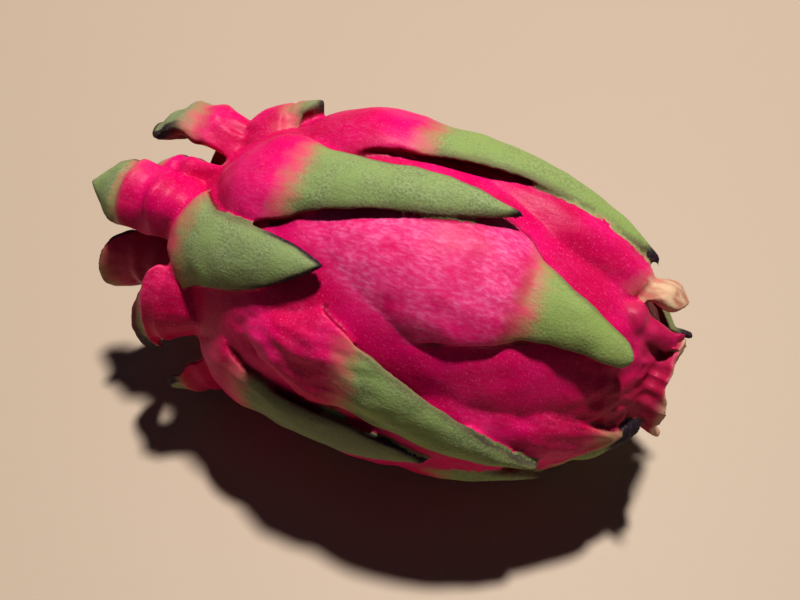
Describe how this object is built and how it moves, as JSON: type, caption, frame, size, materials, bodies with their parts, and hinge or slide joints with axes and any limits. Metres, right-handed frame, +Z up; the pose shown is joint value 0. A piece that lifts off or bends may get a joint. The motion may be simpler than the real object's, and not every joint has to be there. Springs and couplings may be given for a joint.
{
  "type": "dragon fruit",
  "caption": "Plump oval dragon fruit lying on its side, with leafy pointed scales along its skin, a stem scar at one end and a ragged flower scar at the other.",
  "frame": {"origin": "centre of the small flat spot that the fruit rests on", "axes": "+X along the fruit's axis from the stem scar to the flower scar, +Z up from the surface that the fruit lies on"},
  "size_m": [0.1544, 0.0869, 0.0853],
  "materials": {
    "skin": "satin"
  },
  "bodies": {
    "root": {"dragon_fruit": "skin"}
  },
  "joints": []
}
